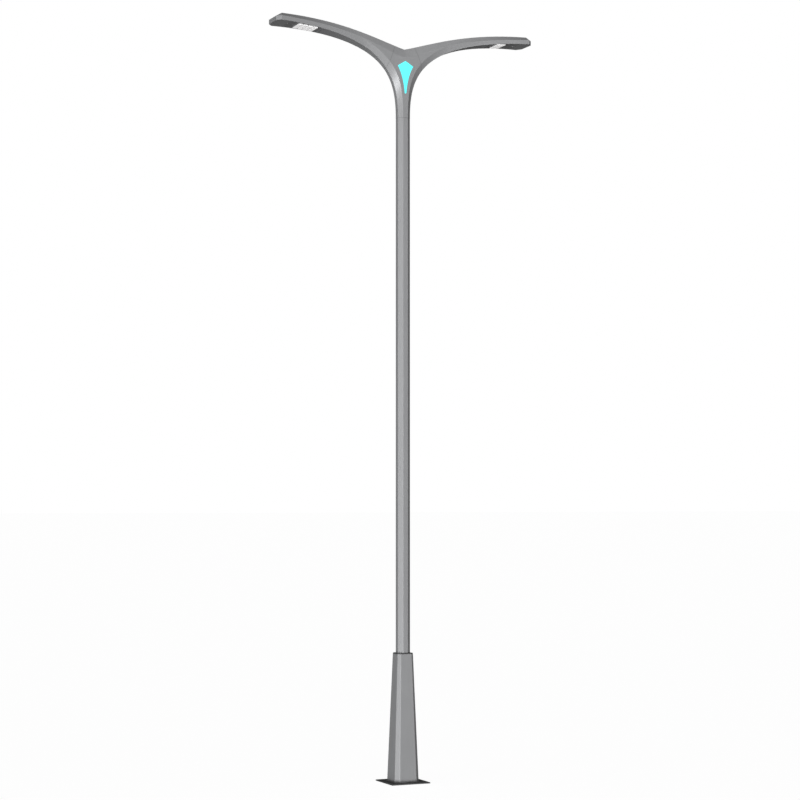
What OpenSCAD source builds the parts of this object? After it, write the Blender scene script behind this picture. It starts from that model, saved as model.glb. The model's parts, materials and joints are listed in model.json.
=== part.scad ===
// Twin-arm LED street lamp: anchored plate, tapered square column with a service door,
// octagonal pole, forked crown with a lit kite panel on both faces, and two curved arms
// that widen into flat heads with hinged LED trays. Millimetres, +Z up, origin at the
// centre of the plate's underside. The arms lie along X and the service door faces +Y.

/* [Plate and column] */
// Side of the square anchor plate
plate_w = 430; // [400:1:560]
// Thickness of the anchor plate
plate_t = 12; // [8:1:25]
// Distance between anchor holes, centre to centre
anchor_pitch = 350; // [335:1:365]
// Radius of each anchor hole
anchor_r = 12; // [9:0.5:14]
// Radius of the cable hole in the plate
cable_hole_r = 45; // [30:1:55]
// Width of the column where it meets the plate
column_w0 = 276; // [250:1:290]
// Width of the column at its top
column_w1 = 177.5; // [174:0.5:230]
// Height of the column above the plate
column_h = 1320; // [1100:1:1600]
// Wall of the column
column_wall = 5; // [4:0.5:8]
// Share of the column's width that each corner chamfer takes
column_chamfer = 0.155; // [0.1:0.005:0.2]
// Height of the dark ring on top of the column
cap_h = 10; // [6:1:20]

/* [Service door] */
// Height of the middle of the door above the ground
door_z = 640; // [560:1:720]
// Width of the door opening
door_w = 110; // [90:1:120]
// Height of the door opening
door_h = 420; // [300:1:500]
// Thickness of the door
door_t = 4; // [3:0.5:5]
// Gap all round the door
door_gap = 1.5; // [1:0.1:3]
// Width of the seal's ledge behind the door
ledge_w = 6; // [4:0.5:10]
// Radius of the hinge knuckles
knuckle_r = 6; // [5:0.5:8]
// Radius of the hinge pins
hinge_pin_r = 3; // [2:0.1:4]
// Radius of the lock's barrel
lock_r = 8; // [6:0.5:10]

/* [Pole] */
// Width of the pole across its flats
pole_w = 140; // [115:1:165]
// Wall of the pole
pole_wall = 4; // [3:0.5:6]
// Share of the width that each corner of the octagon takes
pole_chamfer = 0.304; // [0.27:0.002:0.32]
// Height of the joint between pole and crown above the ground
pole_top = 6965; // [5800:1:8360]
// Depth to which the pole stands in the column
socket_depth = 340; // [250:1:400]

/* [Crown] */
// Wall of the crown
crown_wall = 5; // [4:0.5:8]
// Height of the bottom of the fork above the pole joint
fork_rise = 729; // [610:1:870]
// Height of the front face's top edge above the pole joint, at the middle
face_rise = 644; // [540:1:700]
// Distance from the middle to the arm joint, along the top
seam_top = 114; // [100:1:130]
// Distance from the middle to the arm joint, along the bottom
seam_bottom = 205; // [180:1:240]
// Height of the lit panel's lower tip above the pole joint
kite_base = 257; // [230:1:300]
// Height of the lit panel's shoulders above the pole joint
kite_shoulder = 549; // [500:1:570]
// Height of the lit panel's peak above the pole joint
kite_peak = 603; // [580:1:620]
// Width of the lit panel across its shoulders
kite_w = 177; // [150:1:190]
// Width of the lit panel's blunt lower tip
kite_tip_w = 18; // [12:1:24]

/* [Arms] */
// Distance from the middle of the pole to the end of each arm
arm_reach = 1473; // [1230:1:1770]
// Height of the arm tips' underside above the pole joint
arm_rise = 892; // [800:1:1000]
// Height of the head from its underside to its top
head_h = 81; // [72:1:110]
// Height of the head's upright side
head_side = 46; // [38:1:60]
// Width of the head at its shoulders
head_w = 320; // [290:1:390]
// Width of the head's end face
head_end_w = 210; // [180:1:260]
// Length of the corner that is cut off each shoulder
head_corner = 45; // [30:1:60]
// Length of the slope above each head's end face
head_slope = 60; // [45:1:85]
// Wall of the arms
arm_wall = 4; // [3:0.5:6]
// Wall of the sleeves that join the arms to the crown
sleeve_wall = 4; // [3:0.5:6]

/* [Heads] */
// Distance from the arm's end to the outer edge of its tray
tray_end = 150; // [130:1:170]
// Length of each tray
tray_l = 375; // [350:1:395]
// Thickness of each tray
tray_t = 4; // [3:0.5:5]
// Width of the rim between tray and arm side
tray_rim = 10; // [8:0.5:14]
// Size of each LED block along the arm
led_w = 45; // [38:1:48]
// Size of each LED block across the arm
led_l = 188; // [160:1:208]
// Depth of each LED block
led_t = 8; // [6:0.5:10]
// Distance between LED blocks, centre to centre
led_pitch = 54.5; // [50:0.5:62]
// Number of LED blocks on the road-side arm
leds_left = 4; // [2:1:4]
// Number of LED blocks on the footway-side arm
leds_right = 2; // [1:1:4]

/* [Hidden] */

$fn = 48;
steel_grey = [0.56, 0.56, 0.57];
dark_grey = [0.2, 0.2, 0.21];
bare_metal = [0.7, 0.7, 0.72];
zinc = [0.62, 0.64, 0.66];
black_rubber = [0.08, 0.08, 0.08];
lit_cyan = [0.44, 1, 1];
lamp_white = [0.92, 0.92, 0.9];
cut = 1;        // how far a cutter runs past the face that it cuts
fit = 0.3;      // clearance between two pieces that sit in or against each other
run = 0.05;     // radial clearance of a turning fit

// ---------------------------------------------------------------- column and pole

column_top = plate_t + column_h;
column_tilt = atan((column_w0 - column_w1) / 2 / column_h);
guide_t = 8;
seat_t = 10;
seat_z = column_top - socket_depth - seat_t;
foot_t = 10;
pole_bottom = seat_z + seat_t;
pole_bolt_r = 6;

// Width of the column at height z above the ground
function column_w(z) = column_w0 + (column_w1 - column_w0) * (z - plate_t) / column_h;

// Slab between two heights, as wide as that share of the column less inset on each side
module column_slab(share, inset, from, to) {
    a = share * column_w(from) / 2 - inset;
    b = share * column_w(to) / 2 - inset;
    rotate([90, 0, 0])
        linear_extrude(height = 2 * column_w0, center = true)
            polygon([[-a, from], [a, from], [b, to], [-b, to]]);
}

// The column's outline between two heights, moved inwards by inset on every face
module column_solid(inset, from, to) {
    intersection_for(turn = [0, 45, 90, 135])
        rotate([0, 0, turn])
            column_slab(turn % 90 == 0 ? 1 : sqrt(2) * (1 - column_chamfer), inset, from, to);
}

// Octagon across its flats, moved inwards by inset on every side
module octagon(inset = 0) {
    intersection() {
        square(pole_w - 2 * inset, center = true);
        rotate(45) square(sqrt(2) * pole_w * (1 - pole_chamfer) - 2 * inset, center = true);
    }
}

// Stands its children on the column's back face at height z, with +Y pointing outwards
module on_back_face(z) {
    translate([0, column_w(z) / 2, z]) rotate([column_tilt, 0, 0]) children();
}

// The same on the front face, mirrored
module on_front_face(z) {
    mirror([0, 1, 0]) on_back_face(z) children();
}

module base_plate() {
    color(dark_grey) difference() {
        translate([-plate_w / 2, -plate_w / 2, 0]) cube([plate_w, plate_w, plate_t]);
        for (x = [-1, 1], y = [-1, 1])
            translate([x * anchor_pitch / 2, y * anchor_pitch / 2, -cut])
                cylinder(r = anchor_r, h = plate_t + 2 * cut);
        translate([0, 0, -cut]) cylinder(r = cable_hole_r, h = plate_t + 2 * cut);
    }
}

earth_x = column_w0 / 2 - 50;
module earth_stud() {
    stud_r = 5;
    stud_l = 45;
    nut_r = 9.8;
    nut_h = 8;
    nuts_z = [12, 24];
    washer_r = 11;
    color("goldenrod") translate([earth_x, 0, plate_t]) {
        cylinder(r = stud_r, h = stud_l);
        for (z = nuts_z) translate([0, 0, z]) cylinder(r = nut_r, h = nut_h, $fn = 6);
        translate([0, 0, nuts_z[0] + nut_h]) cylinder(r = washer_r, h = nuts_z[1] - nuts_z[0] - nut_h);
    }
}

module door_opening(w, h, from, to) {
    translate([-w / 2, from, -h / 2]) cube([w, to - from, h]);
}

// Folded plate, closed at the top by a guide plate for the pole
module base_column() {
    color(steel_grey) difference() {
        column_solid(0, plate_t, column_top);
        column_solid(column_wall, plate_t - cut, column_top - guide_t);
        translate([0, 0, column_top - guide_t - cut])
            linear_extrude(height = guide_t + 2 * cut) octagon(-fit);
        on_back_face(door_z) door_opening(door_w, door_h, -4 * column_wall, 4 * column_wall);
    }
}

module column_cap() {
    color(dark_grey) translate([0, 0, column_top]) difference() {
        linear_extrude(height = cap_h) intersection() {
            square(column_w1 - 4, center = true);
            rotate(45) square(sqrt(2) * column_w1 * (1 - column_chamfer) - 4, center = true);
        }
        translate([0, 0, -cut]) linear_extrude(height = cap_h + 2 * cut) octagon(-fit);
    }
}

// The bolts stand in the corners between the pole and the column's wall
pole_bolt_at = (column_w(seat_z) / 2 - column_wall) * 0.77;

module at_pole_bolts() {
    for (x = [-1, 1], y = [-1, 1]) translate([x * pole_bolt_at, y * pole_bolt_at, 0]) children();
}

module pole_seat() {
    color(zinc) difference() {
        column_solid(column_wall + fit / 2, seat_z, pole_bottom);
        translate([0, 0, seat_z - cut]) cylinder(r = cable_hole_r, h = seat_t + 2 * cut);
        translate([0, 0, seat_z - cut])
            at_pole_bolts() cylinder(r = pole_bolt_r + fit, h = seat_t + 2 * cut);
    }
}

module pole_foot() {
    foot_w = column_w(pole_bottom + foot_t) - 2 * column_wall - 2;
    color(zinc) translate([0, 0, pole_bottom]) difference() {
        linear_extrude(height = foot_t) intersection() {
            square(foot_w, center = true);
            rotate(45) square(sqrt(2) * foot_w * (1 - column_chamfer) - 4, center = true);
        }
        translate([0, 0, -cut]) cylinder(r = cable_hole_r, h = foot_t + 2 * cut);
        translate([0, 0, -cut])
            at_pole_bolts() cylinder(r = pole_bolt_r + fit, h = foot_t + 2 * cut);
    }
}

module pole_bolts() {
    head_r = 10;
    head_h = 8;
    nut_h = 10;
    bolt_below = 16;
    bolt_above = 4;
    color(bare_metal) at_pole_bolts() {
        translate([0, 0, seat_z - bolt_below])
            cylinder(r = pole_bolt_r, h = bolt_below + seat_t + foot_t + bolt_above);
        translate([0, 0, pole_bottom + foot_t]) cylinder(r = head_r, h = head_h, $fn = 6);
        translate([0, 0, seat_z - nut_h]) cylinder(r = head_r, h = nut_h, $fn = 6);
    }
}

module pole() {
    bottom = pole_bottom + foot_t;
    color(steel_grey) difference() {
        translate([0, 0, bottom]) linear_extrude(height = pole_top - bottom) octagon();
        translate([0, 0, bottom - cut])
            linear_extrude(height = pole_top - bottom + 2 * cut) octagon(pole_wall);
        crown_screw_holes(-1);
    }
}

// ---------------------------------------------------------------- service door
// All of it is drawn in the back face's own frame: Y = 0 is the outer face.

frame_t = 3;
hinge_x = -door_w / 2 - 2;
hinge_reach = door_h / 2 - 70;
knuckle_l = 20;
leaf_l = 22;
leaf_t = 2;
leaf_from = 5;
hinge_y = knuckle_r + fit;
pin_head_t = 2;
lock_x = door_w / 2 - 20;
cam_t = 3;
cam_w = 14;
cam_l = 30;
lock_depth = column_wall + frame_t + fit;

module door_frame() {
    outer = 15;
    color(zinc) on_back_face(door_z) difference() {
        door_opening(door_w + 2 * outer, door_h + 2 * outer, -column_wall - frame_t, -column_wall);
        door_opening(door_w - 2 * ledge_w, door_h - 2 * ledge_w, -3 * column_wall, 0);
    }
}

module door_seal() {
    color(black_rubber) on_back_face(door_z) difference() {
        door_opening(door_w - 1, door_h - 1, -column_wall, -door_t - fit);
        door_opening(door_w - 2 * ledge_w + 1, door_h - 2 * ledge_w + 1, -3 * column_wall, 0);
    }
}

// One half of a hinge: a knuckle that just clears the column, the leaf that is welded to
// the door (side = 1) or to the column (side = -1), and the web between them
module half_hinge(side, z) {
    web = leaf_from + 2;
    translate([hinge_x, hinge_y, z]) difference() {
        union() {
            cylinder(r = knuckle_r, h = knuckle_l);
            translate([side > 0 ? leaf_from : -leaf_l, -hinge_y, 0])
                cube([leaf_l - leaf_from, leaf_t, knuckle_l]);
            translate([side > 0 ? 0 : -web, -knuckle_r, 0]) cube([web, knuckle_r, knuckle_l]);
        }
        translate([0, 0, -cut]) cylinder(r = hinge_pin_r + run, h = knuckle_l + 2 * cut);
    }
}

module door() {
    color(steel_grey) on_back_face(door_z) {
        difference() {
            door_opening(door_w - 2 * door_gap, door_h - 2 * door_gap, -door_t, 0);
            translate([lock_x, 1, 0]) rotate([90, 0, 0]) cylinder(r = lock_r + run, h = door_t + 2);
        }
        for (z = [-1, 1])
            half_hinge(1, z * hinge_reach + fit);
    }
}

module hinge_leaves() {
    color(steel_grey) on_back_face(door_z)
        for (z = [-1, 1])
            half_hinge(-1, z * hinge_reach - knuckle_l);
}

module hinge_pins() {
    color(bare_metal) on_back_face(door_z)
        for (z = [-1, 1])
            translate([hinge_x, hinge_y, z * hinge_reach - knuckle_l - pin_head_t]) {
                cylinder(r = hinge_pin_r, h = 2 * knuckle_l + 2 * pin_head_t);
                cylinder(r = knuckle_r - 1, h = pin_head_t);
            }
}

plug_r = 4.5;
rosette_t = 3;
module lock_body() {
    color(bare_metal) on_back_face(door_z) translate([lock_x, rosette_t, 0]) rotate([90, 0, 0])
        difference() {
            union() {
                cylinder(r = lock_r + 3, h = rosette_t);
                cylinder(r = lock_r, h = rosette_t + lock_depth);
            }
            translate([0, 0, -cut])
                cylinder(r = plug_r + run, h = rosette_t + lock_depth + 2 * cut);
        }
}

// The plug turns in the barrel and carries the cam, which stands upright when unlocked
module lock_cam() {
    color(zinc) on_back_face(door_z) translate([lock_x, 0, 0]) rotate([90, 0, 0]) {
        difference() {
            translate([0, 0, 1 - rosette_t]) cylinder(r = plug_r, h = lock_depth + cam_t + 2);
            translate([0, 0, -rosette_t]) cylinder(r = 3, h = 5, $fn = 3);
        }
        translate([-cam_w / 2, -cam_w / 2, lock_depth + run]) cube([cam_w, cam_l, cam_t - run]);
    }
}

// ---------------------------------------------------------------- equipment in the column
// It is drawn in the front face's own frame, so Y = -column_wall is the inner face.

spacer_l = 25;
board_w = 110;
board_h = 330;
board_t = 4;
board_y = -column_wall - spacer_l;
cutout_w = 90;
cutout_h = 150;
cutout_base_d = 34;
cutout_cover_d = 20;
cutout_z = 30;
carrier_w = 34;
carrier_h = 60;
gland_r = 11;
gland_l = 22;
gland_x = 22;
cover_lip = 2;
carrier_proud = 4;
grip_w = 10;
grip_d = 13;
grip_proud = 16;
grip_inset = 8;

spacer_from_side = 12;
spacer_from_end = 15;
spacer_r = 7;
spacer_stud_r = 3;
spacer_head_r = 6;
spacer_head_h = 4;
spacer_stud_over = 3;

module at_spacers() {
    for (x = [-1, 1], z = [-1, 1])
        translate([x * (board_w / 2 - spacer_from_side), -column_wall,
                   z * (board_h / 2 - spacer_from_end)])
            rotate([90, 0, 0]) children();
}

module board_spacers() {
    color(zinc) on_front_face(door_z) at_spacers() {
        cylinder(r = spacer_r, h = spacer_l);
        cylinder(r = spacer_stud_r, h = spacer_l + board_t + spacer_stud_over);
        translate([0, 0, spacer_l + board_t]) cylinder(r = spacer_head_r, h = spacer_head_h);
    }
}

module equipment_board() {
    color("burlywood") on_front_face(door_z) difference() {
        translate([-board_w / 2, board_y - board_t, -board_h / 2]) cube([board_w, board_t, board_h]);
        at_spacers() cylinder(r = spacer_stud_r + run, h = 2 * spacer_l);
    }
}

module cutout_base() {
    color(dark_grey) on_front_face(door_z)
        translate([0, board_y - board_t, cutout_z]) {
            translate([-cutout_w / 2, -cutout_base_d, -cutout_h / 2])
                cube([cutout_w, cutout_base_d, cutout_h]);
            for (x = [-1, 1])
                translate([x * gland_x, -cutout_base_d / 2, -cutout_h / 2 - gland_l])
                    cylinder(r = gland_r, h = gland_l);
        }
}

// Cover with a window for the fuse carrier
module cutout_cover() {
    color("gray") on_front_face(door_z)
        translate([0, board_y - board_t - cutout_base_d, cutout_z]) difference() {
            translate([-cutout_w / 2 - cover_lip, -cutout_cover_d, -cutout_h / 2 - cover_lip])
                cube([cutout_w + 2 * cover_lip, cutout_cover_d, cutout_h + 2 * cover_lip]);
            translate([-carrier_w / 2 - fit, -2 * cutout_cover_d, -carrier_h / 2 - fit])
                cube([carrier_w + 2 * fit, 3 * cutout_cover_d, carrier_h + 2 * fit]);
        }
}

module fuse_carrier() {
    color("ivory") on_front_face(door_z)
        translate([0, board_y - board_t - cutout_base_d, cutout_z]) {
            translate([-carrier_w / 2, -cutout_cover_d - carrier_proud, -carrier_h / 2])
                cube([carrier_w, cutout_cover_d + carrier_proud - fit, carrier_h]);
            translate([-grip_w / 2, -cutout_cover_d - grip_proud, -carrier_h / 2 + grip_inset])
                cube([grip_w, grip_d, carrier_h - 2 * grip_inset]);
        }
}

// ---------------------------------------------------------------- outlines of crown and arms
// Four curves in the XZ plane bound each arm, from the middle of the pole outwards:
//   under  the edge between side and underside
//   low    the edge between the flat face and the bevel below it
//   high   the edge between the flat face and the bevel above it
//   top    the edge of the top surface
// low and high meet at merge_x and go on as the single curve side.

merge_x = arm_reach * 0.34;
merge_rise = arm_rise * 0.908;
pole_flat = pole_w * (0.5 - pole_chamfer);
tip_x = arm_reach;

function level(p) = [p.x, pole_top + p.y];
function curve(points) = [for (p = points) level(p)];

under = curve([[pole_w / 2, 0], [pole_w / 2, 0.473 * arm_rise],
               [0.1075 * arm_reach, 0.978 * arm_rise], [tip_x, arm_rise]]);
low = curve([[pole_flat, 0], [pole_flat, 0.481 * merge_rise],
             [0.145 * merge_x, 0.741 * merge_rise], [merge_x, merge_rise]]);
high = curve([[0, face_rise], [0.26 * merge_x, face_rise],
              [0.36 * merge_x, face_rise + 0.43 * (merge_rise - face_rise)],
              [merge_x, merge_rise]]);
side = curve([[merge_x, merge_rise],
              [0.66 * merge_x + 0.34 * tip_x, 0.3 * merge_rise + 0.7 * (arm_rise + head_side)],
              [0.34 * merge_x + 0.66 * tip_x, arm_rise + head_side - 15],
              [tip_x, arm_rise + head_side]]);
top = curve([[0, fork_rise], [0.223 * tip_x, fork_rise + 0.325 * (arm_rise + head_h - fork_rise)],
             [0.479 * tip_x, arm_rise + head_h], [tip_x, arm_rise + head_h]]);

function bezier(c, t) =
    pow(1 - t, 3) * c[0] + 3 * pow(1 - t, 2) * t * c[1] + 3 * (1 - t) * t * t * c[2] + pow(t, 3) * c[3];

function bezier_way(c, t) =
    let (v = pow(1 - t, 2) * (c[1] - c[0]) + 2 * (1 - t) * t * (c[2] - c[1]) + t * t * (c[3] - c[2]))
    v / norm(v);

// Parameter at which curve c reaches x
function t_at(c, x, lo = 0, hi = 1, tries = 26) =
    tries == 0 ? (lo + hi) / 2 :
    let (mid = (lo + hi) / 2)
    bezier(c, mid).x < x ? t_at(c, x, mid, hi, tries - 1) : t_at(c, x, lo, mid, tries - 1);

// Point of curve c at x, moved by d to its right (below a curve that runs outwards)
function point_at(c, x, d = 0) =
    let (t = t_at(c, x), way = bezier_way(c, t)) bezier(c, t) + d * [way.y, -way.x];

function slope_at(c, x) = let (way = bezier_way(c, t_at(c, x))) way.y / way.x;

// The arm joint is a plane through the top and the bottom curve
seam_a = point_at(top, seam_top);
seam_b = point_at(under, seam_bottom);
function seam_side(p) = cross(seam_b - seam_a, p - seam_a);
function t_at_seam(c, lo = 0, hi = 1, tries = 26) =
    tries == 0 ? (lo + hi) / 2 :
    let (mid = (lo + hi) / 2)
    seam_side(bezier(c, mid)) < 0 ? t_at_seam(c, mid, hi, tries - 1) : t_at_seam(c, lo, mid, tries - 1);
seam_high = bezier(high, t_at_seam(high)).x;
seam_low = bezier(low, t_at_seam(low)).x;

// Half widths, as straight lines between the places that fix them
head_x = tip_x - head_corner;
face_half = pole_w / 2;
merge_half = 78;
fork_half = 40;
top_half_end = head_w / 2 - 50;
function ramp(x, x0, y0, x1, y1) = y0 + (y1 - y0) * (x - x0) / (x1 - x0);
function under_half(x) = x < seam_bottom
    ? ramp(x, pole_w / 2, pole_flat, seam_bottom, pole_flat + 3)
    : ramp(x, seam_bottom, pole_flat + 3, head_x, head_w / 2);
function side_half(x) = x < merge_x
    ? ramp(max(x, seam_low), seam_low, face_half, merge_x, merge_half)
    : ramp(x, merge_x, merge_half, head_x, head_w / 2);
function top_half(x) = ramp(x, 0, fork_half, head_x, top_half_end);

// Eight-cornered section of an arm: under, low, high and top on the near side, then back
function section(u, l, h, t, uw, lw, hw, tw) = [
    [u.x, -uw, u.y], [l.x, -lw, l.y], [h.x, -hw, h.y], [t.x, -tw, t.y],
    [t.x, tw, t.y], [h.x, hw, h.y], [l.x, lw, l.y], [u.x, uw, u.y]];

// Section between the joint (s = 0) and the merge (s = 1), moved inwards by d
function root_section(s, d) =
    let (ux = ramp(s, 0, seam_bottom, 1, merge_x), lx = ramp(s, 0, seam_low, 1, merge_x),
         hx = ramp(s, 0, seam_high, 1, merge_x), tx = ramp(s, 0, seam_top, 1, merge_x),
         face_in = d / 2 * (1 - s))
    section(point_at(under, ux, -d), point_at(low, lx, -face_in), point_at(high, hx, face_in),
            point_at(top, tx, d), under_half(ux) - d / 2, side_half(lx) - d,
            side_half(hx) - d, top_half(tx) - d / 2);

// The flat top ends here and the slope down to the end face begins
rim_x = min(head_x, tip_x - head_slope);
end_share = 0.06;

// Section at x between the merge and the head's shoulders; its top stops at the rim
function head_section(x, d) =
    let (edge = point_at(side, x), tx = min(x, rim_x - d / 2))
    section(point_at(under, x, -d), edge, edge, point_at(top, tx, d),
            under_half(x) - d, side_half(x) - d, side_half(x) - d, top_half(tx) - d / 2);

// Section that closes the head: an upright end face and the lowest part of the slope
function end_section(d) =
    let (x = tip_x - d, half = head_end_w / 2 - d / 2,
         edge = [x, pole_top + arm_rise + head_side], rim = point_at(top, rim_x - d / 2, d))
    section([x, pole_top + arm_rise + d], edge, edge, edge + end_share * (rim - edge),
            half, half, half, half);

root_steps = 8;
head_steps = 10;

function arm_sections(d, start) = concat(
    [for (i = [0:root_steps]) root_section(start + (1 - start) * i / root_steps, d)],
    [for (i = [1:head_steps]) head_section(merge_x + (head_x - merge_x - d / 2) * i / head_steps, d)],
    [end_section(d)]);

// Side faces between the rows of eight-cornered sections that start at corner index first
function skin_faces(count, first) =
    [for (r = [0:count - 2], c = [0:7])
        let (a = first + 8 * r + c, b = first + 8 * r + (c + 1) % 8)
        each [[a, b, b + 8], [a, b + 8, a + 8]]];
function end_faces(last) = [for (c = [0:2]) [last + c, last + c + 1, last + 6 - c, last + 7 - c]];
function turned(faces) = [for (f = faces) [for (i = [len(f) - 1:-1:0]) f[i]]];

// Shell between outer and inner sections, open at the start and, unless closed, at the end
module shell(outer, inner, closed) {
    n = len(outer);
    inner_at = 8 * n;
    last = 8 * (n - 1);
    inner_last = inner_at + 8 * (len(inner) - 1);
    start_rim = [for (c = [0:7]) let (b = (c + 1) % 8)
        each [[b, c, inner_at + c], [b, inner_at + c, inner_at + b]]];
    end_rim = [for (c = [0:7]) let (b = (c + 1) % 8)
        each [[last + c, last + b, inner_last + b], [last + c, inner_last + b, inner_last + c]]];
    polyhedron([for (row = concat(outer, inner)) each row],
        concat(skin_faces(n, 0), turned(skin_faces(len(inner), inner_at)), start_rim,
               closed ? concat(end_faces(last), turned(end_faces(inner_last))) : end_rim));
}

// ---------------------------------------------------------------- crown

crown_steps = 14;
fork_steps = 8;
spigot_w_inset = max(pole_wall, crown_wall) + fit;
spigot_down = 220;
spigot_up = 140;
spigot_wall = 6;
spigot_plate = 6;
screw_r = 5;
screw_set_back = 0.5;
screw_key_r = 2.9;
key_depth = 3;
screw_rise = 70;
screw_x = pole_flat * 0.55;
kite_mid = pole_top + kite_base + 223;
kite_steps = 8;
seal_t = 1.2;
lens_flange_t = 3;
kite_frame_t = 6;
kite_board_t = 1.6;
flange_scale = 1.14;
kite_screw_r = 2;

function moved(c, t, d) = let (way = bezier_way(c, t)) bezier(c, t) + d * [way.y, -way.x];

// Right half of the crown's outline from the pole joint to the fork, as pairs of an outer
// and a face point with the outer half width; past runs the hollow on beyond both joints
function crown_half(d, past) =
    let (e = d * tan(22.5), s = past / (merge_x - seam_bottom),
         tu = t_at(under, ramp(s, 0, seam_bottom, 1, merge_x)),
         tl = t_at(low, ramp(s, 0, seam_low, 1, merge_x)),
         th = t_at(high, ramp(s, 0, seam_high, 1, merge_x)),
         tt = t_at(top, ramp(s, 0, seam_top, 1, merge_x)))
    concat(
        past > 0 ? [[bezier(under, 0) - [d, past], bezier(low, 0) - [e, past], pole_flat - e]] : [],
        [for (i = [0:crown_steps]) let (f = i / crown_steps, u = moved(under, f * tu, -d))
            [u, moved(low, f * tl, -e), under_half(bezier(under, f * tu).x) - e]],
        [for (i = [fork_steps:-1:0])
            let (f = i / fork_steps, t = moved(top, f * tt, d), h = moved(high, f * th, e))
            [i > 0 ? t : [0, t.y], i > 0 ? h : [0, h.y], top_half(bezier(top, f * tt).x) - e]]);

// Flat front of the crown, in convex pieces, for a right half of n points: strips up to
// the arm joint, then fans from its foot to the fork; point i's mirror image is 2n - 2 - i
function crown_front(n) =
    let (foot = n - fork_steps - 2, far = 2 * n - 2)
    concat([for (i = [0:foot - 1]) [far - i, far - i - 1, i + 1, i]],
           [for (i = [foot + 1:n - 2]) each [[i + 1, i, foot], [far - foot, far - i, far - i - 1]]],
           [[far - foot, n - 1, foot]]);

module crown_solid(d, past) {
    right = crown_half(d, past);
    n = len(right);
    flip = function (p) [-p.x, p.y];
    ring = concat(right, [for (i = [n - 2:-1:0]) [flip(right[i][0]), flip(right[i][1]), right[i][2]]]);
    count = len(ring);
    face_y = face_half - d;
    points = concat(
        [for (p = ring) [p[1].x, -face_y, p[1].y]], [for (p = ring) [p[0].x, -p[2], p[0].y]],
        [for (p = ring) [p[0].x, p[2], p[0].y]], [for (p = ring) [p[1].x, face_y, p[1].y]]);
    front = crown_front(n);
    faces = concat(
        front, turned([for (f = front) [for (i = f) 3 * count + i]]),
        [for (layer = [0:2], i = [0:count - 1])
            let (a = layer * count + i, b = layer * count + (i + 1) % count)
            each [[a, b, b + count], [a, b + count, a + count]]]);
    polyhedron(points, faces);
}

// Tapped holes through the back of the pole (side = -1) or the crown (side = 1)
module crown_screw_holes(side) {
    for (x = [-1, 1])
        translate([x * screw_x, 0, pole_top + side * screw_rise])
            rotate([-90, 0, 0]) cylinder(r = screw_r, h = pole_w);
}

module crown_spigot() {
    top_z = pole_top + spigot_up;
    color(bare_metal) difference() {
        translate([0, 0, pole_top - spigot_down])
            linear_extrude(height = spigot_down + spigot_up) octagon(spigot_w_inset);
        translate([0, 0, pole_top - spigot_down - cut])
            linear_extrude(height = spigot_down + spigot_up - spigot_plate + cut)
                octagon(spigot_w_inset + spigot_wall);
        translate([0, 0, top_z - 2 * spigot_plate]) cylinder(r = riser_r + 1, h = 3 * spigot_plate);
    }
}

module crown_screws() {
    inner = pole_w / 2 - spigot_w_inset;
    color(bare_metal) for (x = [-1, 1], side = [-1, 1])
        translate([x * screw_x, inner, pole_top + side * screw_rise]) rotate([-90, 0, 0])
            difference() {
                cylinder(r = screw_r - run, h = spigot_w_inset - screw_set_back);
                translate([0, 0, spigot_w_inset - key_depth])
                    cylinder(r = screw_key_r, h = 2 * key_depth, $fn = 6);
            }
}

box_w = 70;
box_d = 60;
box_h = 45;
module junction_box() {
    color(dark_grey) translate([0, 0, pole_top + spigot_up + box_h / 2])
        cube([box_w, box_d, box_h], center = true);
}

function about_mid(p, k) = [p.x * k, kite_mid + (p.y - kite_mid) * k];

// Kite outline, grown by k about its middle: a peak, two shoulders and hollow sides
module kite_outline(k) {
    shoulder = [kite_w / 2, pole_top + kite_shoulder];
    tip = [kite_tip_w / 2, pole_top + kite_base];
    waist = [kite_w * 0.135, ramp(0.61, 0, tip.y, 1, shoulder.y)];
    flank = [for (i = [0:kite_steps]) let (t = i / kite_steps)
        pow(1 - t, 2) * shoulder + 2 * t * (1 - t) * waist + t * t * tip];
    half = [for (p = flank) about_mid(p, k)];
    polygon(concat([about_mid([0, pole_top + kite_peak], k)], half,
                   [for (i = [kite_steps:-1:0]) [-half[i].x, half[i].y]]));
}

// A kite-shaped slab behind the front face, from depth a to depth b
module kite(k, a, b) {
    translate([0, b - face_half, 0]) rotate([90, 0, 0]) linear_extrude(height = b - a) kite_outline(k);
}

module on_both_faces() {
    children();
    mirror([0, 1, 0]) children();
}

frame_from = crown_wall + seal_t + lens_flange_t;
board_from = frame_from + kite_frame_t;
kite_screw_top = about_mid([0, pole_top + kite_peak], (1 + flange_scale) / 2);
kite_screw_tip = about_mid([0, pole_top + kite_base], (1 + flange_scale) / 2);

module at_kite_screws() {
    for (p = [kite_screw_top, kite_screw_tip])
        translate([0, -face_half, p.y]) rotate([-90, 0, 0]) children();
}

module kite_screw_holes() {
    at_kite_screws() translate([0, 0, 1.5]) cylinder(r = kite_screw_r + run, h = 2 * board_from);
}

module kite_seals() {
    color(black_rubber) on_both_faces() difference() {
        kite(flange_scale, crown_wall, crown_wall + seal_t);
        kite(1, 0, 2 * crown_wall);
        kite_screw_holes();
    }
}

module kite_lens() {
    difference() {
        union() {
            kite(0.993, -0.5, crown_wall + seal_t + 1);
            kite(flange_scale, crown_wall + seal_t, frame_from);
        }
        kite_screw_holes();
    }
}

module kite_lens_front() { color(lit_cyan) kite_lens(); }
module kite_lens_back() { color(lit_cyan) mirror([0, 1, 0]) kite_lens(); }

module kite_frames() {
    color(zinc) on_both_faces() difference() {
        kite(flange_scale, frame_from, board_from);
        kite(0.9, crown_wall, board_from + cut);
        kite_screw_holes();
    }
}

module kite_boards() {
    color("white") on_both_faces() difference() {
        kite(flange_scale, board_from, board_from + kite_board_t);
        kite_screw_holes();
    }
}

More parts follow.
